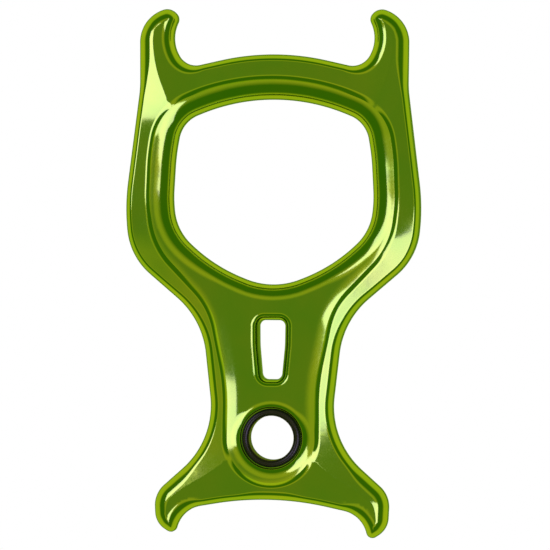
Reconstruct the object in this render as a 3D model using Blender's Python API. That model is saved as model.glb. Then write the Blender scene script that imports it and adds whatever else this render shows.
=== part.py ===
"""Rescue descender: a forged body with four horns, and the snap-in liner of its attachment bore.

Metres, +Z up.  X runs across the body, Z along it with the rope eye at the top, and Y through
the thickness; the front faces -Y.  The origin is the crown of the rope eye's inner edge, in the
middle of the thickness, where the hanging body bears on whatever carries it.
Lengths below are millimetres until the meshes are made.
"""

import math

import bpy
import numpy as np
from mathutils import kdtree
from mathutils.geometry import delaunay_2d_cdt

# Overall sizes; the outlines below are drawn at DRAWN_WIDTH by DRAWN_LENGTH and stretch with these.
BODY_WIDTH = 95.0
BODY_LENGTH = 169.8
DRAWN_WIDTH = 95.0
DRAWN_LENGTH = 169.8

# Outline corners of the right half, top to bottom: x, z, fillet radius.
OUTER_CORNERS = (
    (0.0, 16.4, 77.0),      # top edge between the hooks
    (28.4, 10.0, 6.3),      # throat of the upper hook
    (33.6, 19.2, 11.4),
    (30.4, 26.2, 2.6),      # nose of the hook
    (33.4, 29.6, 3.9),
    (43.4, 26.2, 10.9),     # shoulder of the hook
    (43.2, 3.5, 37.0),
    (47.9, -34.5, 68.0),    # widest point of the ring
    (46.2, -50.7, 21.3),
    (22.7, -70.9, 27.2),
    (18.4, -109.4, 27.2),   # waist
    (37.9, -126.9, 8.8),    # lower horn
    (37.4, -137.2, 6.9),
    (31.3, -141.0, 2.0),    # its tip
    (28.8, -132.5, 9.5),
    (0.0, -126.9, 95.0),    # bottom edge
)
SHOULDER_CORNER = 5         # the side edge starts partway round this corner
SHOULDER_SHARE = 0.15
HORN_END_CORNER = 12        # and ends after this one
HORN_TIP_CORNERS = (12, 13, 14)
HORN_TIP_UNEVENNESS = 0.7   # the right lower horn reaches this much lower, the left one higher

EYE_CORNERS = (
    (0.0, 4.8, 61.3),
    (29.6, -7.2, 9.8),
    (31.5, -18.0, 68.1),
    (32.3, -32.7, 40.8),
    (31.1, -42.2, 16.7),
    (19.5, -53.4, 51.3),
    (0.0, -61.3, 23.6),
)

# Edge of the raised land: it runs round the eye, down both sides of the waist and round the bore.
LAND_CORNERS = (
    (0.0, 11.3, 70.0),
    (36.4, -3.2, 17.0),
    (38.8, -18.0, 75.0),
    (39.4, -33.0, 48.0),
    (37.7, -46.9, 24.0),
    (19.0, -66.4, 26.0),
    (13.8, -92.0, 70.0),
    (14.3, -123.0, 13.9),
)

SLOT_CORNERS = (
    (4.2, -70.9, 1.9),
    (4.1, -79.0, 40.0),
    (3.1, -89.9, 2.1),
)

# Thicknesses, all measured from the middle plane to one face.
CREST_HEIGHT = 6.9          # edge of the raised land, the thickest place
DISH_DEPTH = 0.75           # the land sinks this far inside its edge
DISH_WIDTH = 6.0
STEP_HEIGHT = 0.9           # from the edge of the land down to the flange
STEP_WIDTH = 1.9
FOOT_HEIGHT = CREST_HEIGHT - STEP_HEIGHT
SIDE_SLOPE = 0.15           # fall of the flange towards the side edges
END_SLOPE = 0.112           # and towards the top and bottom edges
FLANGE_DROP = 0.9           # the flange's edge lies this far below FOOT_HEIGHT
RING_FLATNESS = 0.6         # share of the fall that is missing beside the rope eye
RIDGE_BLEND = 0.05          # rounding of the ridge where the two slopes meet

# Rounded edges: how far the rounding reaches in from the edge, and the upright wall left at the edge.
RIM_WIDTH = 2.3
WAIST_RIM_WIDTH = 3.0
HORN_RIM_WIDTH = 4.2
OUTER_WALL = 1.0
EYE_RIM_WIDTH = 6.3
EYE_WALL = 0.6
SLOT_RIM_WIDTH = 2.7
SLOT_WALL = 2.0

# Attachment bore, with an inner shoulder the liner's groove snaps over.
BORE_CENTRE_Z = -108.7
BORE_RADIUS = 9.72
BORE_RIM_WIDTH = 3.4
BORE_BEVEL = 2.2            # the bore's edge lies this far below the edge of the land
BORE_EDGE_HEIGHT = CREST_HEIGHT - BORE_BEVEL
SHOULDER_DEPTH = 1.02
SHOULDER_RADIUS = BORE_RADIUS - SHOULDER_DEPTH
SHOULDER_HALF = 2.2
LINER_GAP = 0.3
LINER_WALL = 2.27           # thickness of the liner outside its groove
LINER_INNER_RADIUS = BORE_RADIUS - LINER_GAP - LINER_WALL
LINER_PROUD = 0.8           # the liner stands this far above the bore's edge
LINER_HEIGHT = BORE_EDGE_HEIGHT + LINER_PROUD
LINER_INNER_ROUND = 1.2
LINER_OUTER_ROUND = 1.0

# How finely the meshes are cut.
ROW_STEP = 3.2              # spacing along the outlines
ARC_STEP_DEGREES = 12.0
GRID_STEP = 6.0             # spacing of the points between them
ROUND_STEPS = 4             # rows across a rounded edge
EYE_ROUND_STEPS = 5
BORE_SIDES = 48

SMALLEST_EDGE = 0.25        # points of an outline closer than this are merged
MERGE_DISTANCE = 0.06       # and points of the face closer than this

METRE = 0.001
NEAREST_CHUNK = 2000


def drawn(corners):
    """Stretch outline corners from the drawn size to the body's size."""
    across = BODY_WIDTH / DRAWN_WIDTH
    along = BODY_LENGTH / DRAWN_LENGTH
    return [(x * across, z * along, r * min(across, along)) for x, z, r in corners]


def both_halves(corners, unevenness=0.0):
    """Mirror the right half of an outline; the horn tips may reach differently low on the two sides."""
    tips = HORN_TIP_CORNERS if unevenness else ()
    right = [(x, z - unevenness * (i in tips), r) for i, (x, z, r) in enumerate(corners)]
    left = [(-x, z + unevenness * (i in tips), r) for i, (x, z, r) in enumerate(corners) if x > 0]
    return right + left[::-1]


def rounded_path(corners):
    """Closed path round the corners, each one filleted.

    Returns the points and, for each, its station: i to i + 0.5 on the fillet of corner i, and on
    up to i + 1 along the straight that follows.
    """
    points, stations = [], []
    for i, (x, z, radius) in enumerate(corners):
        corner = np.array((x, z))
        back = np.array(corners[i - 1][:2]) - corner
        ahead = np.array(corners[(i + 1) % len(corners)][:2]) - corner
        back /= np.hypot(*back)
        ahead /= np.hypot(*ahead)
        half_angle = math.acos(np.clip(back @ ahead, -1.0, 1.0)) / 2
        bisector = (back + ahead) / np.hypot(*(back + ahead))
        centre = corner + bisector * radius / math.sin(half_angle)
        start = corner + back * radius / math.tan(half_angle) - centre
        turn = math.pi - 2 * half_angle
        if back[0] * ahead[1] - back[1] * ahead[0] > 0:
            turn = -turn
        count = max(2, math.ceil(abs(math.degrees(turn)) / ARC_STEP_DEGREES),
                    math.ceil(abs(turn) * radius / ROW_STEP))
        for k in range(count + 1):
            angle = turn * k / count
            spin = np.array(((math.cos(angle), -math.sin(angle)), (math.sin(angle), math.cos(angle))))
            points.append(centre + spin @ start)
            stations.append(i + 0.5 * k / count)
    path, marks = [], []
    for k, point in enumerate(points):
        following = points[(k + 1) % len(points)]
        gap = math.dist(point, following)
        if gap < SMALLEST_EDGE:
            continue
        pieces = max(1, round(gap / ROW_STEP)) if stations[k] % 1 == 0.5 else 1
        for j in range(pieces):
            path.append(point + (following - point) * j / pieces)
            marks.append(stations[k] + 0.5 * j / pieces)
    return np.array(path), np.array(marks)


def circle_path(radius, sides, centre_z):
    angles = np.arange(sides) * 2 * math.pi / sides
    return np.column_stack((radius * np.cos(angles), centre_z + radius * np.sin(angles)))


def segments_of(path):
    return path, np.roll(path, -1, axis=0)


def distance(points, segments):
    """Distance from each point to the nearest of the segments."""
    starts, ends = segments
    along = ends - starts
    lengths = (along ** 2).sum(axis=1)
    result = []
    for first in range(0, len(points), NEAREST_CHUNK):
        offset = points[first:first + NEAREST_CHUNK, None, :] - starts[None]
        share = np.clip((offset * along).sum(axis=2) / lengths, 0.0, 1.0)
        miss = offset - share[..., None] * along
        result.append(np.sqrt((miss ** 2).sum(axis=2).min(axis=1)))
    return np.concatenate(result) if result else np.zeros(0)


def inside(points, path):
    """Whether each point lies inside the closed path."""
    x, z = points[:, 0], points[:, 1]
    result = np.zeros(len(points), dtype=bool)
    for (x0, z0), (x1, z1) in zip(path, np.roll(path, -1, axis=0)):
        if z0 == z1:
            continue
        crosses = (z0 > z) != (z1 > z)
        result ^= crosses & (x < x0 + (z - z0) * (x1 - x0) / (z1 - z0))
    return result


def rounding(reach):
    """Quarter-ellipse rise: 0 at the edge, 1 where the rounding ends (reach 1)."""
    left = 1.0 - np.clip(reach, 0.0, 1.0)
    return np.sqrt(1.0 - left ** 2)


def ramp(value, low, high):
    share = np.clip((value - low) / (high - low), 0.0, 1.0)
    return share * share * (3.0 - 2.0 * share)


OUTER, OUTER_STATIONS = rounded_path(both_halves(drawn(OUTER_CORNERS), HORN_TIP_UNEVENNESS))
EYE, _ = rounded_path(both_halves(drawn(EYE_CORNERS)))
LAND, _ = rounded_path(both_halves(drawn(LAND_CORNERS)))
SLOT, _ = rounded_path(both_halves(drawn(SLOT_CORNERS)))
BORE_Z = BORE_CENTRE_Z * BODY_LENGTH / DRAWN_LENGTH
BORE = circle_path(BORE_RADIUS, BORE_SIDES, BORE_Z)


def side_and_end_segments():
    """Split the outer edge into its two long sides, and the top and bottom ends between them."""
    whole_turn = 2 * (len(OUTER_CORNERS) - 1)
    stations = OUTER_STATIONS
    right = (stations >= SHOULDER_CORNER + SHOULDER_SHARE) & (stations < HORN_END_CORNER + 0.5)
    left = (stations >= whole_turn - HORN_END_CORNER) & (stations < whole_turn - SHOULDER_CORNER + 0.5 - SHOULDER_SHARE)
    starts, ends = segments_of(OUTER)
    side = right | left
    return (starts[side], ends[side]), (starts[~side], ends[~side])


SIDE_EDGES, END_EDGES = side_and_end_segments()


def rim_width(points):
    """Width of the outer rounding: narrow round the ring, fuller at the waist and on the horns."""
    z_scale = DRAWN_LENGTH / BODY_LENGTH
    x_scale = DRAWN_WIDTH / BODY_WIDTH
    x, z = np.abs(points[:, 0]) * x_scale, points[:, 1] * z_scale
    waist = ramp(-z, 58.0, 78.0) * (1.0 - ramp(x, 4.0, 12.0) * ramp(-z, 112.0, 124.0))
    width = RIM_WIDTH + (WAIST_RIM_WIDTH - RIM_WIDTH) * waist
    horn = np.maximum(ramp(x, 22.0, 30.0) * ramp(z, 0.0, 14.0), ramp(x, 22.0, 30.0) * ramp(-z, 112.0, 122.0))
    return width + (HORN_RIM_WIDTH - width) * horn


def ridge_balance(points):
    """Zero on the ridges, where the slopes from the side edge and from the end edge meet."""
    return SIDE_SLOPE * distance(points, SIDE_EDGES) - END_SLOPE * distance(points, END_EDGES)


def beside_ring(points):
    """One beside the rope eye, where the flange is flatter, and zero above and below it."""
    z = points[:, 1] * DRAWN_LENGTH / BODY_LENGTH
    return ramp(-z, 0.0, 12.0) * (1.0 - ramp(-z, 34.0, 52.0))


def half_thickness(points):
    """Height of the face above the middle plane at each (x, z) point of the body."""
    to_side = distance(points, SIDE_EDGES)
    to_end = distance(points, END_EDGES)
    to_outer = np.minimum(to_side, to_end)
    to_eye = distance(points, segments_of(EYE))
    to_slot = distance(points, segments_of(SLOT))
    to_bore = np.hypot(points[:, 0], points[:, 1] - BORE_Z) - BORE_RADIUS
    to_land = distance(points, segments_of(LAND))
    on_land = inside(points, LAND)

    side_rise = (SIDE_SLOPE * to_side - FLANGE_DROP) * (1.0 - RING_FLATNESS * beside_ring(points))
    end_rise = END_SLOPE * to_end - FLANGE_DROP
    apart = np.maximum(RIDGE_BLEND - np.abs(side_rise - end_rise), 0.0)
    flange = FOOT_HEIGHT + np.minimum(side_rise, end_rise) - apart ** 2 / (4 * RIDGE_BLEND)
    fall = (1.0 - np.clip(to_land / STEP_WIDTH, 0.0, 1.0)) ** 2
    flange = flange + (CREST_HEIGHT - flange) * fall

    dish = 1.0 - (1.0 - np.clip(to_land / DISH_WIDTH, 0.0, 1.0)) ** 2
    land = CREST_HEIGHT - DISH_DEPTH * dish
    land -= (land - BORE_EDGE_HEIGHT) * (1.0 - rounding(to_bore / BORE_RIM_WIDTH))
    land -= (land - SLOT_WALL) * (1.0 - rounding(to_slot / SLOT_RIM_WIDTH))
    land -= (land - EYE_WALL) * (1.0 - rounding(to_eye / EYE_RIM_WIDTH))

    height = np.where(on_land, land, flange)
    return OUTER_WALL + (height - OUTER_WALL) * rounding(to_outer / rim_width(points))


class Sheet:
    """Points of one face of the body and the edges that must survive its triangulation."""

    def __init__(self):
        self.points = []
        self.edges = []

    def add(self, candidates, wanted, spacing, linked=True):
        """Add the wanted candidates that keep their spacing, linking neighbours of the same row."""
        tree = kdtree.KDTree(max(1, len(self.points)))
        for index, (x, z) in enumerate(self.points):
            tree.insert((x, z, 0.0), index)
        tree.balance()
        kept, count, last = [], len(self.points), (math.inf, math.inf)
        for (x, z), good in zip(candidates, wanted):
            near = tree.find((x, z, 0.0))[2] if self.points else math.inf
            if good and min(near, math.dist(last, (x, z))) > spacing:
                kept.append(count)
                count, last = count + 1, (x, z)
            else:
                kept.append(None)
        self.points.extend(tuple(p) for p, k in zip(candidates, kept) if k is not None)
        if linked:
            following = kept[1:] + kept[:1]
            self.edges.extend((a, b) for a, b in zip(kept, following) if a is not None and b is not None)


def row_beside(path, reach, side):
    """Copy of a closed path moved sideways by reach; side 1 is to its left, -1 to its right."""
    ahead = np.roll(path, -1, axis=0) - path
    back = path - np.roll(path, 1, axis=0)
    ahead /= np.hypot(ahead[:, 0], ahead[:, 1])[:, None]
    back /= np.hypot(back[:, 0], back[:, 1])[:, None]
    along = ahead + back
    along /= np.hypot(along[:, 0], along[:, 1])[:, None]
    normal = np.column_stack((-along[:, 1], along[:, 0])) * side
    return path + normal * np.asarray(reach).reshape(-1, 1)


def winding(path):
    following = np.roll(path, -1, axis=0)
    return 1 if (path[:, 0] * following[:, 1] - following[:, 0] * path[:, 1]).sum() > 0 else -1


def ridge_line(tip, foot):
    """Points of the ridge between a horn's tip and the foot of the land's step."""
    tip, foot = np.array(tip), np.array(foot)
    count = max(3, round(math.dist(tip, foot) / ROW_STEP))
    along = (foot - tip) / math.dist(tip, foot)
    across = np.array((-along[1], along[0]))
    line = []
    for k in range(count + 1):
        base = tip + (foot - tip) * k / count
        reaches = np.linspace(-5.0, 5.0, 201)
        balance = ridge_balance(base + reaches[:, None] * across)
        signs = np.nonzero(balance[:-1] * balance[1:] <= 0)[0]
        if len(signs):
            i = signs[np.argmin(np.abs(reaches[signs]))]
            share = balance[i] / (balance[i] - balance[i + 1])
            point = base + (reaches[i] + share * (reaches[i + 1] - reaches[i])) * across
            if not line or math.dist(line[-1], point) > 0.5 * ROW_STEP:
                line.append(point)
    return np.array(line)


# Guide lines of the four ridges, from the tip to the land.
UPPER_RIDGE = ((40.0, 24.0), (34.4, 0.5))
LOWER_RIDGE = ((34.4, -135.5), (17.5, -116.5))


def face_sheet():
    sheet = Sheet()
    everywhere = lambda path: np.ones(len(path), dtype=bool)
    for path in (OUTER, EYE, SLOT, BORE):
        sheet.add(path, everywhere(path), 0.0)
    sheet.add(LAND, everywhere(LAND), 0.0)

    across, along = BODY_WIDTH / DRAWN_WIDTH, BODY_LENGTH / DRAWN_LENGTH
    for guide in (UPPER_RIDGE, LOWER_RIDGE):
        for side in (1, -1):
            line = ridge_line(*((x * across * side, z * along) for x, z in guide))
            wanted = (distance(line, segments_of(LAND)) > 0.5 * STEP_WIDTH) & ~inside(line, LAND)
            wanted &= distance(line, segments_of(OUTER)) > 0.8
            first = len(sheet.points)
            sheet.add(line, wanted, 0.4, linked=False)
            sheet.edges.extend((k, k + 1) for k in range(first, len(sheet.points) - 1))

    for share in (0.5, 1.0):
        row = row_beside(LAND, share * STEP_WIDTH, -winding(LAND))
        sheet.add(row, distance(row, segments_of(OUTER)) > 0.7 * STEP_WIDTH, 0.5)
    for share in (0.4, 1.0):
        row = row_beside(LAND, share * DISH_WIDTH, winding(LAND))
        clear = distance(row, segments_of(LAND)) > 0.97 * share * DISH_WIDTH
        clear &= (distance(row, segments_of(EYE)) > EYE_RIM_WIDTH) | (share < 1.0)
        sheet.add(row, clear & (distance(row, segments_of(BORE)) > 0.6), 0.5)

    rounded = ((OUTER, None, 1, ROUND_STEPS), (EYE, EYE_RIM_WIDTH, -1, EYE_ROUND_STEPS),
               (SLOT, SLOT_RIM_WIDTH, -1, ROUND_STEPS), (BORE, BORE_RIM_WIDTH, -1, ROUND_STEPS))
    for path, width, inward, steps in rounded:
        for k in range(1, steps + 1):
            share = 1.0 - math.cos(math.pi / 2 * k / steps)
            reach = share * (rim_width(path) if width is None else np.full(len(path), width))
            row = row_beside(path, reach, inward * winding(path))
            clear = distance(row, segments_of(path)) > 0.95 * reach
            clear &= inside(row, LAND) != (width is None)
            for other in (OUTER, EYE, SLOT, BORE):
                if other is not path:
                    clear &= distance(row, segments_of(other)) > 0.8
            sheet.add(row, clear, 0.12 if k == 1 else 0.3)

    low, high = OUTER.min(axis=0), OUTER.max(axis=0)
    rows = math.ceil((high[1] - low[1]) / (GRID_STEP * 0.866))
    columns = math.ceil((high[0] - low[0]) / GRID_STEP) // 2 + 1
    grid = [(GRID_STEP * (i + 0.5 * (j % 2)), low[1] + GRID_STEP * 0.866 * j)
            for j in range(rows + 1) for i in range(-columns, columns + 1)]
    grid = np.array(grid)
    sheet.add(grid, in_body(grid), 0.55 * GRID_STEP, linked=False)
    return sheet


def in_body(points):
    result = inside(points, OUTER)
    for hole in (EYE, SLOT, BORE):
        result &= ~inside(points, hole)
    return result


def body_mesh():
    """Vertices and faces of the closed body: the face sheet twice, joined round every outline."""
    sheet = face_sheet()
    points, _, faces, _, _, _ = delaunay_2d_cdt([tuple(p) for p in sheet.points], sheet.edges, [], 0, MERGE_DISTANCE)
    points = np.array([tuple(p) for p in points])
    faces = np.array(faces)
    faces = faces[in_body(points[faces].mean(axis=1))]
    heights = half_thickness(points)
    for path, wall in ((OUTER, OUTER_WALL), (EYE, EYE_WALL), (SLOT, SLOT_WALL), (BORE, BORE_EDGE_HEIGHT)):
        heights[distance(points, segments_of(path)) < 1e-4] = wall

    count = len(points)
    front = np.column_stack((points[:, 0], -heights, points[:, 1]))
    back = np.column_stack((points[:, 0], heights, points[:, 1]))
    corners = points[faces]
    first, second = corners[:, 1] - corners[:, 0], corners[:, 2] - corners[:, 0]
    clockwise = first[:, 0] * second[:, 1] - first[:, 1] * second[:, 0] < 0
    faces[clockwise] = faces[clockwise][:, ::-1]
    polygons = [tuple(f) for f in faces] + [tuple(f[::-1] + count) for f in faces]

    sides = [(f[k], f[(k + 1) % 3]) for f in faces for k in range(3)]
    known = set(sides)
    border = [(a, b) for a, b in sides if (b, a) not in known]
    vertices = [tuple(v) for v in np.vstack((front, back))]
    rings = {}

    def bore_ring(index):
        """The four points below a bore edge point: wall foot and shoulder edge, front and back."""
        if index not in rings:
            x, z = points[index]
            dx, dz = x / BORE_RADIUS, (z - BORE_Z) / BORE_RADIUS
            ring = []
            for radius, y in ((BORE_RADIUS, -SHOULDER_HALF), (SHOULDER_RADIUS, -SHOULDER_HALF),
                              (SHOULDER_RADIUS, SHOULDER_HALF), (BORE_RADIUS, SHOULDER_HALF)):
                ring.append(len(vertices))
                vertices.append((dx * radius, y, BORE_Z + dz * radius))
            rings[index] = ring
        return rings[index]

    on_bore = distance(points, segments_of(BORE)) < 1e-4
    for a, b in border:
        if on_bore[a] and on_bore[b]:
            column_a = [a] + bore_ring(a) + [a + count]
            column_b = [b] + bore_ring(b) + [b + count]
            for k in range(len(column_a) - 1):
                polygons.append((column_b[k], column_a[k], column_a[k + 1], column_b[k + 1]))
        else:
            polygons.append((b, a, a + count, b + count))
    return vertices, polygons


def liner_profile():
    """Half section of the liner (radius, y), y > 0 side, from the bore to the groove."""
    flange_radius = BORE_RADIUS - LINER_GAP
    groove_radius = SHOULDER_RADIUS - LINER_GAP
    flange_foot = SHOULDER_HALF + LINER_GAP
    inner, outer = LINER_INNER_ROUND, LINER_OUTER_ROUND
    profile = []
    for k in range(ROUND_STEPS + 1):
        angle = math.pi / 2 * k / ROUND_STEPS
        profile.append((LINER_INNER_RADIUS + inner * (1 - math.cos(angle)),
                        LINER_HEIGHT - inner * (1 - math.sin(angle))))
    for k in range(ROUND_STEPS + 1):
        angle = math.pi / 2 * k / ROUND_STEPS
        profile.append((flange_radius - outer * (1 - math.sin(angle)),
                        LINER_HEIGHT - outer * (1 - math.cos(angle))))
    profile += [(flange_radius, flange_foot), (groove_radius, flange_foot)]
    return profile


def liner_mesh():
    half = liner_profile()
    profile = half + [(r, -y) for r, y in reversed(half)]
    vertices, polygons = [], []
    for side in range(BORE_SIDES):
        angle = 2 * math.pi * side / BORE_SIDES
        vertices += [(r * math.cos(angle), y, BORE_Z + r * math.sin(angle)) for r, y in profile]
    size = len(profile)
    for side in range(BORE_SIDES):
        this, following = side * size, (side + 1) % BORE_SIDES * size
        for k in range(size):
            j = (k + 1) % size
            polygons.append((this + j, this + k, following + k, following + j))
    return vertices, polygons


def principled(name, colour, metallic, roughness):
    material = bpy.data.materials.new(name)
    material.use_nodes = True
    shader = material.node_tree.nodes["Principled BSDF"]
    shader.inputs["Base Color"].default_value = (*colour, 1.0)
    shader.inputs["Metallic"].default_value = metallic
    shader.inputs["Roughness"].default_value = roughness
    material.diffuse_color = (*colour, 1.0)
    return material


def add_object(name, vertices, polygons, material):
    mesh = bpy.data.meshes.new(name)
    mesh.from_pydata([tuple(METRE * c for c in v) for v in vertices], [], polygons)
    mesh.validate()
    mesh.materials.append(material)
    item = bpy.data.objects.new(name, mesh)
    bpy.context.scene.collection.objects.link(item)
    return item


def main():
    for item in list(bpy.data.objects):
        bpy.data.objects.remove(item, do_unlink=True)
    anodised = principled("anodised_aluminium", (0.20, 0.42, 0.01), 1.0, 0.25)
    rubber = principled("black_liner", (0.02, 0.02, 0.022), 0.0, 0.45)
    add_object("forged_body", *body_mesh(), anodised)
    add_object("bore_liner", *liner_mesh(), rubber)


main()
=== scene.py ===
"""Looks of the rescue descender: its polished anodised body, the black bore liner, and the studio."""

import math

import bpy
import numpy as np
from mathutils import Matrix, Vector, kdtree
from mathutils.geometry import delaunay_2d_cdt


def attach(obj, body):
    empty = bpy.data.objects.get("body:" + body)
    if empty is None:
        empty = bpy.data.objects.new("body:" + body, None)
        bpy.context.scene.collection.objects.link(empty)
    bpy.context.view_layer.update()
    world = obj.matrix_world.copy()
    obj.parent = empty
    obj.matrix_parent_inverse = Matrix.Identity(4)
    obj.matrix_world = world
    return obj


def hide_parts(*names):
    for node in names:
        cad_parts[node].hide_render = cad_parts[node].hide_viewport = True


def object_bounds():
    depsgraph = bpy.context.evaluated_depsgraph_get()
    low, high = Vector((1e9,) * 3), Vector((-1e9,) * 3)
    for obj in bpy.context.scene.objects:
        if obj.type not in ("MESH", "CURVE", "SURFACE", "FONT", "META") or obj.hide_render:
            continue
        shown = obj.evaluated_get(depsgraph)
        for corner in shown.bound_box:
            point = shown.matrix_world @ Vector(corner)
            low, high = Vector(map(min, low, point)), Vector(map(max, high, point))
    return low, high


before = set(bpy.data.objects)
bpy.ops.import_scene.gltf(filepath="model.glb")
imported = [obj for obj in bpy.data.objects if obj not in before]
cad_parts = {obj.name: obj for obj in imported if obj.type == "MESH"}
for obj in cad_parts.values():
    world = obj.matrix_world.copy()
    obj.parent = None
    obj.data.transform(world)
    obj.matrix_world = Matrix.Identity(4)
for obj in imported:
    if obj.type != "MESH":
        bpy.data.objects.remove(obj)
cad_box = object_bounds()

# The body's own sizes, in millimetres: outline corners of the right half as x, z, fillet radius.
OUTER_CORNERS = (
    (0.0, 16.4, 77.0), (28.4, 10.0, 6.3), (33.6, 19.2, 11.4), (30.4, 26.2, 2.6), (33.4, 29.6, 3.9),
    (43.4, 26.2, 10.9), (43.2, 3.5, 37.0), (47.9, -34.5, 68.0), (46.2, -50.7, 21.3), (22.7, -70.9, 27.2),
    (18.4, -109.4, 27.2), (37.9, -126.9, 8.8), (37.4, -137.2, 6.9), (31.3, -141.0, 2.0),
    (28.8, -132.5, 9.5), (0.0, -126.9, 95.0),
)
SIDE_START = 5.15           # stations on the outer outline between which its edge is a long side
SIDE_END = 12.5
HORN_TIP_CORNERS = (12, 13, 14)
HORN_TIP_UNEVENNESS = 0.7
EYE_CORNERS = (
    (0.0, 4.8, 61.3), (29.6, -7.2, 9.8), (31.5, -18.0, 68.1), (32.3, -32.7, 40.8), (31.1, -42.2, 16.7),
    (19.5, -53.4, 51.3), (0.0, -61.3, 23.6),
)
LAND_CORNERS = (
    (0.0, 11.3, 70.0), (36.4, -3.2, 17.0), (38.8, -18.0, 75.0), (39.4, -33.0, 48.0), (37.7, -46.9, 24.0),
    (19.0, -66.4, 26.0), (13.8, -92.0, 70.0), (14.3, -123.0, 13.9),
)
SLOT_CORNERS = ((4.2, -70.9, 1.9), (4.1, -79.0, 40.0), (3.1, -89.9, 2.1))

CREST_HEIGHT = 6.9
DISH_DEPTH = 0.75
DISH_WIDTH = 6.0
STEP_HEIGHT = 0.9
STEP_WIDTH = 1.9
FOOT_HEIGHT = CREST_HEIGHT - STEP_HEIGHT
SIDE_SLOPE = 0.15
RING_FLATNESS = 0.6
END_SLOPE = 0.112
FLANGE_DROP = 0.9
RIDGE_BLEND = 0.05
RIM_WIDTH = 2.3
WAIST_RIM_WIDTH = 3.0
HORN_RIM_WIDTH = 4.2
OUTER_WALL = 1.0
EYE_RIM_WIDTH = 6.3
EYE_WALL = 0.6
SLOT_RIM_WIDTH = 2.7
SLOT_WALL = 2.0
BORE_CENTRE_Z = -108.7
BORE_RADIUS = 9.72
BORE_RIM_WIDTH = 3.4
BORE_EDGE_HEIGHT = 4.7
SHOULDER_RADIUS = 8.7
SHOULDER_HALF = 2.2
LINER_GAP = 0.3
LINER_INNER_RADIUS = 7.15
LINER_HEIGHT = 5.5
LINER_INNER_ROUND = 1.2
LINER_OUTER_ROUND = 1.0

# Fineness of the visible meshes.
ROW_STEP = 0.75
ARC_STEP_DEGREES = 3.0
GRID_STEP = 0.95
ROUND_STEPS = 10
EYE_ROUND_STEPS = 14
BORE_SIDES = 144
NEAREST_CHUNK = 4000        # points handled at once when distances are taken
ON_OUTLINE = 1e-4           # points this close to an outline belong to it
RIDGE_SEARCH = 6.0          # a ridge is looked for this far to each side of its guide line
RIDGE_SAMPLES = 241
RIDGE_OFFSETS = (0.0, -0.32, 0.32)
UPPER_RIDGE = ((40.0, 24.0), (34.4, 0.5))           # guide lines, from the horn's tip to the land
LOWER_RIDGE = ((34.4, -135.5), (17.5, -116.5))
SMALLEST_EDGE = 0.08
METRE = 0.001


def both_halves(corners, unevenness=0.0):
    tips = HORN_TIP_CORNERS if unevenness else ()
    right = [(x, z - unevenness * (i in tips), r) for i, (x, z, r) in enumerate(corners)]
    left = [(-x, z + unevenness * (i in tips), r) for i, (x, z, r) in enumerate(corners) if x > 0]
    return right + left[::-1]


def rounded_path(corners):
    """Closed path round filleted corners, with each point's station along them."""
    points, stations = [], []
    for i, (x, z, radius) in enumerate(corners):
        corner = np.array((x, z))
        back = np.array(corners[i - 1][:2]) - corner
        ahead = np.array(corners[(i + 1) % len(corners)][:2]) - corner
        back /= np.hypot(*back)
        ahead /= np.hypot(*ahead)
        half_angle = math.acos(np.clip(back @ ahead, -1.0, 1.0)) / 2
        bisector = (back + ahead) / np.hypot(*(back + ahead))
        centre = corner + bisector * radius / math.sin(half_angle)
        start = corner + back * radius / math.tan(half_angle) - centre
        turn = math.pi - 2 * half_angle
        if back[0] * ahead[1] - back[1] * ahead[0] > 0:
            turn = -turn
        count = max(2, math.ceil(abs(math.degrees(turn)) / ARC_STEP_DEGREES),
                    math.ceil(abs(turn) * radius / ROW_STEP))
        for k in range(count + 1):
            angle = turn * k / count
            spin = np.array(((math.cos(angle), -math.sin(angle)), (math.sin(angle), math.cos(angle))))
            points.append(centre + spin @ start)
            stations.append(i + 0.5 * k / count)
    path, marks = [], []
    for k, point in enumerate(points):
        following = points[(k + 1) % len(points)]
        gap = math.dist(point, following)
        if gap < SMALLEST_EDGE:
            continue
        pieces = max(1, round(gap / ROW_STEP)) if stations[k] % 1 == 0.5 else 1
        for j in range(pieces):
            path.append(point + (following - point) * j / pieces)
            marks.append(stations[k] + 0.5 * j / pieces)
    return np.array(path), np.array(marks)


def segments_of(path):
    return path, np.roll(path, -1, axis=0)


def nearest(points, segments):
    """Distance from each point to the segments, and the unit vector that points away from them."""
    starts, ends = segments
    along = ends - starts
    lengths = (along ** 2).sum(axis=1)
    gaps, away = np.zeros(len(points)), np.zeros((len(points), 2))
    for first in range(0, len(points), NEAREST_CHUNK):
        some = points[first:first + NEAREST_CHUNK]
        dx, dz = some[:, 0, None] - starts[:, 0], some[:, 1, None] - starts[:, 1]
        share = np.clip((dx * along[:, 0] + dz * along[:, 1]) / lengths, 0.0, 1.0)
        dx -= share * along[:, 0]
        dz -= share * along[:, 1]
        square = dx * dx + dz * dz
        best = square.argmin(axis=1)
        row = np.arange(len(some))
        gap = np.sqrt(square[row, best])
        gaps[first:first + NEAREST_CHUNK] = gap
        direction = np.column_stack((dx[row, best], dz[row, best]))
        away[first:first + NEAREST_CHUNK] = direction / np.maximum(gap, 1e-9)[:, None]
    return gaps, away


def distance(points, segments):
    return nearest(points, segments)[0]


def inside(points, path):
    x, z = points[:, 0], points[:, 1]
    result = np.zeros(len(points), dtype=bool)
    for (x0, z0), (x1, z1) in zip(path, np.roll(path, -1, axis=0)):
        if z0 != z1:
            crosses = (z0 > z) != (z1 > z)
            result ^= crosses & (x < x0 + (z - z0) * (x1 - x0) / (z1 - z0))
    return result


def rounding(reach):
    left = 1.0 - np.clip(reach, 0.0, 1.0)
    return np.sqrt(1.0 - left ** 2)


def ramp(value, low, high):
    share = np.clip((value - low) / (high - low), 0.0, 1.0)
    return share * share * (3.0 - 2.0 * share)


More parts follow.
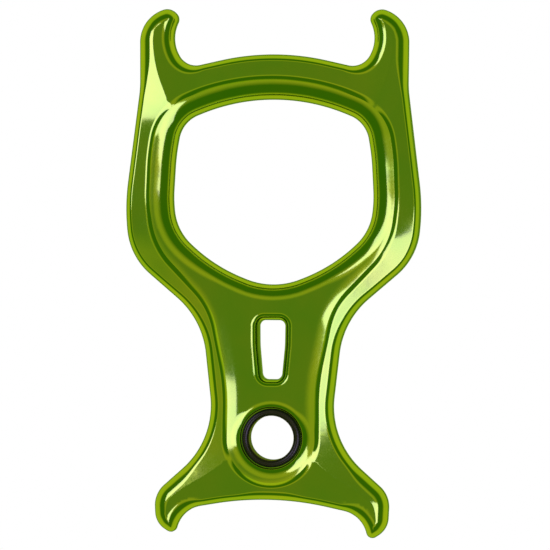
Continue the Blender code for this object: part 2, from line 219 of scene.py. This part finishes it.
OUTER, OUTER_STATIONS = rounded_path(both_halves(OUTER_CORNERS, HORN_TIP_UNEVENNESS))
EYE, _ = rounded_path(both_halves(EYE_CORNERS))
LAND, _ = rounded_path(both_halves(LAND_CORNERS))
SLOT, _ = rounded_path(both_halves(SLOT_CORNERS))
BORE = np.array([(BORE_RADIUS * math.cos(2 * math.pi * k / BORE_SIDES),
                  BORE_CENTRE_Z + BORE_RADIUS * math.sin(2 * math.pi * k / BORE_SIDES))
                 for k in range(BORE_SIDES)])
WHOLE_TURN = 2 * (len(OUTER_CORNERS) - 1)
ON_SIDE = ((OUTER_STATIONS >= SIDE_START) & (OUTER_STATIONS < SIDE_END)
           | (OUTER_STATIONS >= WHOLE_TURN - SIDE_END + 0.5)
           & (OUTER_STATIONS < WHOLE_TURN - SIDE_START + 0.5))
SIDE_EDGES = tuple(end[ON_SIDE] for end in segments_of(OUTER))
END_EDGES = tuple(end[~ON_SIDE] for end in segments_of(OUTER))
OUTLINES = (SIDE_EDGES, END_EDGES, segments_of(EYE), segments_of(SLOT), segments_of(LAND))


def rim_width(x, z):
    x = np.abs(x)
    waist = ramp(-z, 58.0, 78.0) * (1.0 - ramp(x, 4.0, 12.0) * ramp(-z, 112.0, 124.0))
    width = RIM_WIDTH + (WAIST_RIM_WIDTH - RIM_WIDTH) * waist
    horn = np.maximum(ramp(x, 22.0, 30.0) * ramp(z, 0.0, 14.0), ramp(x, 22.0, 30.0) * ramp(-z, 112.0, 122.0))
    return width + (HORN_RIM_WIDTH - width) * horn


def beside_ring(z):
    """One beside the rope eye, where the flange is flatter, and zero above and below it."""
    return ramp(-z, 0.0, 12.0) * (1.0 - ramp(-z, 34.0, 52.0))


def height_from(gaps, x, z, on_land):
    """Height of the face above the middle plane, from the distances to the outlines."""
    to_side, to_end, to_eye, to_slot, to_land = gaps
    to_bore = np.hypot(x, z - BORE_CENTRE_Z) - BORE_RADIUS
    side_rise = (SIDE_SLOPE * to_side - FLANGE_DROP) * (1.0 - RING_FLATNESS * beside_ring(z))
    end_rise = END_SLOPE * to_end - FLANGE_DROP
    apart = np.maximum(RIDGE_BLEND - np.abs(side_rise - end_rise), 0.0)
    flange = FOOT_HEIGHT + np.minimum(side_rise, end_rise) - apart ** 2 / (4 * RIDGE_BLEND)
    fall = (1.0 - np.clip(to_land / STEP_WIDTH, 0.0, 1.0)) ** 2
    flange = flange + (CREST_HEIGHT - flange) * fall
    dish = 1.0 - (1.0 - np.clip(to_land / DISH_WIDTH, 0.0, 1.0)) ** 2
    land = CREST_HEIGHT - DISH_DEPTH * dish
    land = land - (land - BORE_EDGE_HEIGHT) * (1.0 - rounding(to_bore / BORE_RIM_WIDTH))
    land = land - (land - SLOT_WALL) * (1.0 - rounding(to_slot / SLOT_RIM_WIDTH))
    land = land - (land - EYE_WALL) * (1.0 - rounding(to_eye / EYE_RIM_WIDTH))
    height = np.where(on_land, land, flange)
    return OUTER_WALL + (height - OUTER_WALL) * rounding(np.minimum(to_side, to_end) / rim_width(x, z))


def surface(points):
    """Height and slope of the face at each (x, z) point."""
    found = [nearest(points, outline) for outline in OUTLINES]
    on_land = inside(points, LAND)
    x, z = points[:, 0], points[:, 1]
    step = 1e-4
    slopes = []
    for axis in (0, 1):
        ends = [height_from([gap + sign * step * away[:, axis] for gap, away in found],
                            x + sign * step * (axis == 0), z + sign * step * (axis == 1), on_land)
                for sign in (1, -1)]
        slopes.append((ends[0] - ends[1]) / (2 * step))
    return height_from([gap for gap, _ in found], x, z, on_land), np.column_stack(slopes)


class Sheet:
    """Points of one face and the edges that must survive its triangulation."""

    def __init__(self):
        self.points, self.edges = [], []

    def add(self, candidates, wanted, spacing, linked=True):
        tree = kdtree.KDTree(max(1, len(self.points)))
        for index, (x, z) in enumerate(self.points):
            tree.insert((x, z, 0.0), index)
        tree.balance()
        kept, count, last = [], len(self.points), (math.inf, math.inf)
        for (x, z), good in zip(candidates, wanted):
            near = tree.find((x, z, 0.0))[2] if self.points and good else math.inf
            if good and min(near, math.dist(last, (x, z))) > spacing:
                kept.append(count)
                count, last = count + 1, (x, z)
            else:
                kept.append(None)
        self.points.extend(tuple(p) for p, k in zip(candidates, kept) if k is not None)
        if linked:
            self.edges.extend((a, b) for a, b in zip(kept, kept[1:] + kept[:1])
                              if a is not None and b is not None)


def normals_of(path):
    """Unit normals of a closed path at its points, to the left of its direction."""
    ahead = np.roll(path, -1, axis=0) - path
    back = path - np.roll(path, 1, axis=0)
    ahead /= np.hypot(ahead[:, 0], ahead[:, 1])[:, None]
    back /= np.hypot(back[:, 0], back[:, 1])[:, None]
    along = ahead + back
    along /= np.hypot(along[:, 0], along[:, 1])[:, None]
    return np.column_stack((-along[:, 1], along[:, 0]))


def winding(path):
    following = np.roll(path, -1, axis=0)
    return 1 if (path[:, 0] * following[:, 1] - following[:, 0] * path[:, 1]).sum() > 0 else -1


def ridge_line(tip, foot):
    """Points of the ridge where the slopes from the side edge and the end edge meet."""
    tip, foot = np.array(tip), np.array(foot)
    count = round(math.dist(tip, foot) / ROW_STEP)
    along = (foot - tip) / math.dist(tip, foot)
    across = np.array((-along[1], along[0]))
    reaches = np.linspace(-RIDGE_SEARCH, RIDGE_SEARCH, RIDGE_SAMPLES)
    line = []
    for k in range(count + 1):
        trial = tip + (foot - tip) * k / count + reaches[:, None] * across
        balance = SIDE_SLOPE * distance(trial, SIDE_EDGES) - END_SLOPE * distance(trial, END_EDGES)
        signs = np.nonzero(balance[:-1] * balance[1:] <= 0)[0]
        if len(signs):
            i = signs[np.argmin(np.abs(reaches[signs]))]
            share = balance[i] / (balance[i] - balance[i + 1])
            line.append(trial[i] + share * (trial[i + 1] - trial[i]))
    return np.array(line)


def in_body(points):
    result = inside(points, OUTER)
    for hole in (EYE, SLOT, BORE):
        result &= ~inside(points, hole)
    return result


def face_sheet():
    sheet = Sheet()
    for path in (OUTER, EYE, SLOT, BORE, LAND):
        sheet.add(path, np.ones(len(path), dtype=bool), 0.0)
    land, outer = segments_of(LAND), segments_of(OUTER)
    for guide in (UPPER_RIDGE, LOWER_RIDGE):
        for side in (1, -1):
            line = ridge_line(*((x * side, z) for x, z in guide))
            along = unit(np.gradient(line, axis=0))
            across = np.column_stack((-along[:, 1], along[:, 0]))
            for offset in RIDGE_OFFSETS:
                row, start = line + offset * across, len(sheet.points)
                sheet.add(row, (distance(row, land) > 0.3) & ~inside(row, LAND)
                          & (distance(row, outer) > 0.5), 0.1, linked=False)
                sheet.edges.extend((k, k + 1) for k in range(start, len(sheet.points) - 1))
    for share in (0.08, 0.18, 0.3, 0.45, 0.62, 0.8, 1.0):
        row = LAND - normals_of(LAND) * winding(LAND) * share * STEP_WIDTH
        sheet.add(row, distance(row, outer) > 0.4, 0.1)
    for share in (0.05, 0.15, 0.3, 0.45, 0.6, 0.8, 1.0):
        row = LAND + normals_of(LAND) * winding(LAND) * share * DISH_WIDTH
        clear = distance(row, land) > 0.97 * share * DISH_WIDTH
        clear &= distance(row, segments_of(EYE)) > EYE_RIM_WIDTH
        sheet.add(row, clear & (distance(row, segments_of(BORE)) > BORE_RIM_WIDTH), 0.12)
    for path, width, steps in ((OUTER, None, ROUND_STEPS), (EYE, EYE_RIM_WIDTH, EYE_ROUND_STEPS),
                               (SLOT, SLOT_RIM_WIDTH, ROUND_STEPS), (BORE, BORE_RIM_WIDTH, ROUND_STEPS)):
        inward = 1 if path is OUTER else -1
        for k in range(1, steps + 1):
            share = 1.0 - math.cos(math.pi / 2 * k / steps)
            full = rim_width(path[:, 0], path[:, 1]) if width is None else np.full(len(path), width)
            reach = share * full
            row = path + normals_of(path) * (inward * winding(path)) * reach[:, None]
            clear = distance(row, segments_of(path)) > 0.97 * reach
            clear &= inside(row, LAND) != (width is None)
            for other in (OUTER, EYE, SLOT, BORE):
                if other is not path:
                    clear &= distance(row, segments_of(other)) > 0.3
            sheet.add(row, clear, min(0.3, 0.35 * share * (width or RIM_WIDTH)))
    low, high = OUTER.min(axis=0), OUTER.max(axis=0)
    rows = math.ceil((high[1] - low[1]) / (GRID_STEP * 0.866))
    columns = math.ceil((high[0] - low[0]) / GRID_STEP) // 2 + 1
    grid = np.array([(GRID_STEP * (i + 0.5 * (j % 2)), low[1] + GRID_STEP * 0.866 * j)
                     for j in range(rows + 1) for i in range(-columns, columns + 1)])
    sheet.add(grid, in_body(grid), 0.6 * GRID_STEP, linked=False)
    return sheet


def unit(vectors):
    return vectors / np.linalg.norm(vectors, axis=1)[:, None]


def body_mesh():
    """Vertices, faces and corner normals of the closed body."""
    sheet = face_sheet()
    points, _, faces, _, _, _ = delaunay_2d_cdt([tuple(p) for p in sheet.points], sheet.edges, [], 0, 1e-5)
    points = np.array([tuple(p) for p in points])
    faces = np.array(faces)
    faces = faces[in_body(points[faces].mean(axis=1))]
    sides = points[faces]
    first, second = sides[:, 1] - sides[:, 0], sides[:, 2] - sides[:, 0]
    clockwise = first[:, 0] * second[:, 1] - first[:, 1] * second[:, 0] < 0
    faces[clockwise] = faces[clockwise][:, ::-1]
    heights = surface(points)[0]
    outward = np.zeros((len(points), 2))
    for path, wall in ((OUTER, OUTER_WALL), (EYE, EYE_WALL), (SLOT, SLOT_WALL), (BORE, BORE_EDGE_HEIGHT)):
        gaps = distance(points, segments_of(path))
        on_path = np.nonzero(gaps < ON_OUTLINE)[0]
        heights[on_path] = wall
        turn = winding(path) * (-1 if path is OUTER else 1)
        normals = normals_of(path) * turn
        which = ((points[on_path, None, :] - path[None]) ** 2).sum(axis=2).argmin(axis=1)
        outward[on_path] = normals[which]

    # Normals come from the surface itself, taken just inside each face so that creases stay sharp.
    corners = points[faces]
    sampled = corners + 0.04 * (corners.mean(axis=1, keepdims=True) - corners)
    slopes = surface(sampled.reshape(-1, 2))[1]
    front_normals = unit(np.column_stack((-slopes[:, 0], -np.ones(len(slopes)), -slopes[:, 1])))
    front_normals = front_normals.reshape(-1, 3, 3)
    back_normals = (front_normals * (1, -1, 1))[:, ::-1]

    count = len(points)
    vertices = [tuple(v) for v in np.vstack((np.column_stack((points[:, 0], -heights, points[:, 1])),
                                             np.column_stack((points[:, 0], heights, points[:, 1]))))]
    polygons = [tuple(f) for f in faces] + [tuple(f[::-1] + count) for f in faces]
    normals = [tuple(n) for n in np.vstack((front_normals.reshape(-1, 3), back_normals.reshape(-1, 3)))]

    edges = [(f[k], f[(k + 1) % 3]) for f in faces for k in range(3)]
    known = set(edges)
    on_bore = distance(points, segments_of(BORE)) < ON_OUTLINE
    rings = {}

    def bore_ring(index):
        if index not in rings:
            dx, dz = points[index][0] / BORE_RADIUS, (points[index][1] - BORE_CENTRE_Z) / BORE_RADIUS
            ring = []
            for radius, y in ((BORE_RADIUS, -SHOULDER_HALF), (SHOULDER_RADIUS, -SHOULDER_HALF),
                              (SHOULDER_RADIUS, SHOULDER_HALF), (BORE_RADIUS, SHOULDER_HALF)):
                ring.append(len(vertices))
                vertices.append((dx * radius, y, BORE_CENTRE_Z + dz * radius))
            rings[index] = ring
        return rings[index]

    for a, b in edges:
        if (b, a) in known:
            continue
        normal_a, normal_b = ((outward[k][0], 0.0, outward[k][1]) for k in (a, b))
        if on_bore[a] and on_bore[b]:
            column_a = [a] + bore_ring(a) + [a + count]
            column_b = [b] + bore_ring(b) + [b + count]
            for k in range(len(column_a) - 1):
                polygons.append((column_b[k], column_a[k], column_a[k + 1], column_b[k + 1]))
                ledge = {1: (0.0, -1.0, 0.0), 3: (0.0, 1.0, 0.0)}.get(k)
                normals += [ledge or normal_b, ledge or normal_a, ledge or normal_a, ledge or normal_b]
        else:
            polygons.append((b, a, a + count, b + count))
            normals += [normal_b, normal_a, normal_a, normal_b]
    return vertices, polygons, normals


def liner_mesh():
    """Vertices and faces of the liner, a ring with rounded lips and a groove over the shoulder."""
    flange = BORE_RADIUS - LINER_GAP
    half = []
    for k in range(ROUND_STEPS + 1):
        angle = math.pi / 2 * k / ROUND_STEPS
        half.append((LINER_INNER_RADIUS + LINER_INNER_ROUND * (1 - math.cos(angle)),
                     LINER_HEIGHT - LINER_INNER_ROUND * (1 - math.sin(angle))))
    for k in range(ROUND_STEPS + 1):
        angle = math.pi / 2 * k / ROUND_STEPS
        half.append((flange - LINER_OUTER_ROUND * (1 - math.sin(angle)),
                     LINER_HEIGHT - LINER_OUTER_ROUND * (1 - math.cos(angle))))
    foot = SHOULDER_HALF + LINER_GAP
    half += [(flange, foot), (SHOULDER_RADIUS - LINER_GAP, foot)]
    profile = half + [(r, -y) for r, y in reversed(half)]
    vertices, polygons = [], []
    for side in range(BORE_SIDES):
        angle = 2 * math.pi * side / BORE_SIDES
        vertices += [(r * math.cos(angle), y, BORE_CENTRE_Z + r * math.sin(angle)) for r, y in profile]
    size = len(profile)
    for side in range(BORE_SIDES):
        this, following = side * size, (side + 1) % BORE_SIDES * size
        for k in range(size):
            j = (k + 1) % size
            polygons.append((this + j, this + k, following + k, following + j))
    return vertices, polygons


def piece(name, vertices, polygons, material, node):
    mesh = bpy.data.meshes.new(name)
    mesh.from_pydata([tuple(METRE * c for c in v) for v in vertices], [], polygons)
    mesh.materials.append(material)
    mesh.polygons.foreach_set("use_smooth", [True] * len(mesh.polygons))
    item = bpy.data.objects.new(name, mesh)
    bpy.context.scene.collection.objects.link(item)
    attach(item, "root")
    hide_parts(node)
    return item


class Nodes:
    """Short ways to add shader nodes to a material or world."""

    def __init__(self, tree):
        self.tree = tree

    def new(self, kind, values=(), **settings):
        node = self.tree.nodes.new("ShaderNode" + kind)
        for key, value in settings.items():
            setattr(node, key, value)
        for key, value in dict(values).items():
            if isinstance(value, bpy.types.NodeSocket):
                self.tree.links.new(value, node.inputs[key])
            else:
                node.inputs[key].default_value = value
        return node

    def math(self, operation, *values):
        return self.new("Math", dict(enumerate(values)), operation=operation).outputs[0]

    def ramp(self, value, stops):
        node = self.new("ValToRGB", {0: value})
        elements = node.color_ramp.elements
        while len(elements) < len(stops):
            elements.new(0.5)
        for element, (place, colour) in zip(elements, stops):
            element.position = place
            element.color = (*colour, 1.0)
        return node.outputs["Color"]


def anodised_metal():
    material = bpy.data.materials.new("anodised_aluminium")
    material.use_nodes = True
    n = Nodes(material.node_tree)
    shader = material.node_tree.nodes["Principled BSDF"]
    place = n.new("TexCoord").outputs["Object"]
    patches = n.new("TexNoise", {"Vector": place, "Scale": 55.0, "Detail": 3.0, "Roughness": 0.55})
    tone = patches.outputs["Fac"]
    colour = n.ramp(tone, ((0.32, (0.185, 0.375, 0.018)), (0.68, (0.250, 0.385, 0.022))))
    material.node_tree.links.new(colour, shader.inputs["Base Color"])
    fine = n.new("TexNoise", {"Vector": place, "Scale": 900.0, "Detail": 4.0}).outputs["Fac"]
    gloss = n.math("MULTIPLY_ADD", fine, 0.05, 0.065)
    material.node_tree.links.new(gloss, shader.inputs["Roughness"])
    wave = n.new("TexNoise", {"Vector": place, "Scale": 95.0, "Detail": 1.0}).outputs["Fac"]
    waved = n.new("Bump", {"Strength": 1.0, "Distance": 0.00007, "Height": wave})
    ripple = n.new("TexNoise", {"Vector": place, "Scale": 420.0, "Detail": 2.0}).outputs["Fac"]
    bump = n.new("Bump", {"Strength": 1.0, "Distance": 0.000008, "Height": ripple,
                          "Normal": waved.outputs["Normal"]})
    material.node_tree.links.new(bump.outputs["Normal"], shader.inputs["Normal"])
    shader.inputs["Metallic"].default_value = 1.0
    shader.inputs["Specular Tint"].default_value = (0.45, 0.75, 0.10, 1.0)
    shader.inputs["Coat Weight"].default_value = 0.9
    shader.inputs["Coat Roughness"].default_value = 0.08
    shader.inputs["Coat IOR"].default_value = 1.6
    return material


def moulded_liner():
    material = bpy.data.materials.new("black_liner")
    material.use_nodes = True
    n = Nodes(material.node_tree)
    shader = material.node_tree.nodes["Principled BSDF"]
    place = n.new("TexCoord").outputs["Object"]
    tone = n.new("TexNoise", {"Vector": place, "Scale": 260.0, "Detail": 4.0}).outputs["Fac"]
    colour = n.ramp(tone, ((0.3, (0.004, 0.004, 0.006)), (0.7, (0.010, 0.010, 0.013))))
    material.node_tree.links.new(colour, shader.inputs["Base Color"])
    grain = n.new("TexNoise", {"Vector": place, "Scale": 2600.0, "Detail": 3.0}).outputs["Fac"]
    material.node_tree.links.new(n.math("MULTIPLY_ADD", grain, 0.12, 0.20), shader.inputs["Roughness"])
    bump = n.new("Bump", {"Strength": 0.25, "Distance": 0.00008, "Height": grain})
    material.node_tree.links.new(bump.outputs["Normal"], shader.inputs["Normal"])
    shader.inputs["Specular IOR Level"].default_value = 0.32
    return material


CAMERA_SIDE = (0.32, 0.42, 0.06)
HALO = (0.78, 0.70, 0.08)
DARKEST = (0.12, 0.28, 0.005)
SURROUNDINGS = (1.0, 0.95, 0.06)
BEHIND = (0.20, 0.32, 0.02)
SOFTBOX_TINT = (0.88, 0.64, 1.5)    # not neutral: it makes the green metal's highlights cream
SOFTBOX_ROLL = 9.0
SOFTBOX_STRENGTH = 3.0


def studio_world():
    """Green and yellow surroundings that change with direction; the lens itself sees plain white."""
    world = bpy.data.worlds.new("studio")
    bpy.context.scene.world = world
    world.use_nodes = True
    world.node_tree.nodes.clear()
    n = Nodes(world.node_tree)
    direction = n.new("TexCoord").outputs["Generated"]
    depth = n.new("SeparateXYZ", {0: direction}).outputs["Y"]
    place = n.math("MULTIPLY_ADD", depth, 0.5, 0.5)
    around = n.ramp(place, ((0.0, CAMERA_SIDE), (0.022, CAMERA_SIDE), (0.05, HALO), (0.085, HALO),
                            (0.16, DARKEST), (0.38, DARKEST),
                            (0.49, SURROUNDINGS), (0.80, SURROUNDINGS), (0.93, BEHIND)))
    lit = n.new("Background", {"Color": around, "Strength": 1.0})
    white = n.new("Background", {"Color": (1.0, 1.0, 1.0, 1.0), "Strength": 1.0})
    seen = n.new("LightPath").outputs["Is Camera Ray"]
    mixed = n.new("MixShader", {0: seen, 1: lit.outputs[0], 2: white.outputs[0]})
    n.new("OutputWorld", {0: mixed.outputs[0]})


def softbox(name, centre, target, width, height, roll, strength):
    light = bpy.data.lights.new(name, "AREA")
    light.shape = "RECTANGLE"
    light.size, light.size_y = width, height
    light.color = SOFTBOX_TINT
    light.energy = strength * width * height * math.pi
    item = bpy.data.objects.new(name, light)
    bpy.context.scene.collection.objects.link(item)
    away = Vector(target) - Vector(centre)
    item.matrix_world = (Matrix.Translation(centre) @ away.to_track_quat("-Z", "Y").to_matrix().to_4x4()
                         @ Matrix.Rotation(math.radians(roll), 4, "Z"))
    item.visible_camera = False
    return item


def floor_below(low):
    size = 0.55
    mesh = bpy.data.meshes.new("studio_floor")
    mesh.from_pydata([(-size, -size, low), (size, -size, low), (size, size, low), (-size, size, low)],
                     [], [(0, 1, 2, 3)])
    item = bpy.data.objects.new("studio_floor", mesh)
    bpy.context.scene.collection.objects.link(item)
    material = bpy.data.materials.new("pale_floor")
    material.use_nodes = True
    n = Nodes(material.node_tree)
    shader = material.node_tree.nodes["Principled BSDF"]
    place = n.new("TexCoord").outputs["Object"]
    tone = n.new("TexNoise", {"Vector": place, "Scale": 8.0}).outputs["Fac"]
    colour = n.ramp(tone, ((0.3, (0.84, 0.84, 0.83)), (0.7, (0.88, 0.88, 0.87))))
    material.node_tree.links.new(colour, shader.inputs["Base Color"])
    shader.inputs["Roughness"].default_value = 0.8
    mesh.materials.append(material)
    item.visible_glossy = False


CAMERA_DISTANCE = 1.5
CAMERA_AZIMUTH = math.radians(4.5)
CAMERA_ROLL = math.radians(0.33)
CAMERA_AIM = (0.00057, 0.0, -0.0564)
FOCAL_LENGTH = 305.4


def add_camera():
    camera = bpy.data.cameras.new("camera")
    camera.lens = FOCAL_LENGTH
    camera.sensor_width = 36.0
    camera.clip_end = 20.0
    item = bpy.data.objects.new("camera", camera)
    bpy.context.scene.collection.objects.link(item)
    turn = (Matrix.Rotation(CAMERA_AZIMUTH, 4, "Z") @ Matrix.Rotation(math.pi / 2, 4, "X")
            @ Matrix.Rotation(CAMERA_ROLL, 4, "Z"))
    back = Vector((math.sin(CAMERA_AZIMUTH), -math.cos(CAMERA_AZIMUTH), 0.0)) * CAMERA_DISTANCE
    item.matrix_world = Matrix.Translation(Vector(CAMERA_AIM) + back) @ turn
    bpy.context.scene.camera = item


body_vertices, body_polygons, body_normals = body_mesh()
body = piece("polished_body", body_vertices, body_polygons, anodised_metal(), "forged_body")
body.data.normals_split_custom_set(body_normals)
print("body triangles", sum(len(p) - 2 for p in body_polygons))
liner = piece("snap_in_liner", *liner_mesh(), moulded_liner(), "bore_liner")
liner.data.set_sharp_from_angle(angle=math.radians(40))

studio_world()
low, high = cad_box
middle = (0.0, 0.0, (low[2] + high[2]) / 2)
softbox("upper_left_softbox", (-0.385, -0.60, 0.125), middle, 0.30, 0.30, SOFTBOX_ROLL, SOFTBOX_STRENGTH)
softbox("lower_right_softbox", (0.31, -0.62, -0.235), middle, 0.42, 0.38, SOFTBOX_ROLL, SOFTBOX_STRENGTH)
floor_below(low[2] - 0.09)
add_camera()
bpy.context.scene.view_settings.view_transform = "Standard"
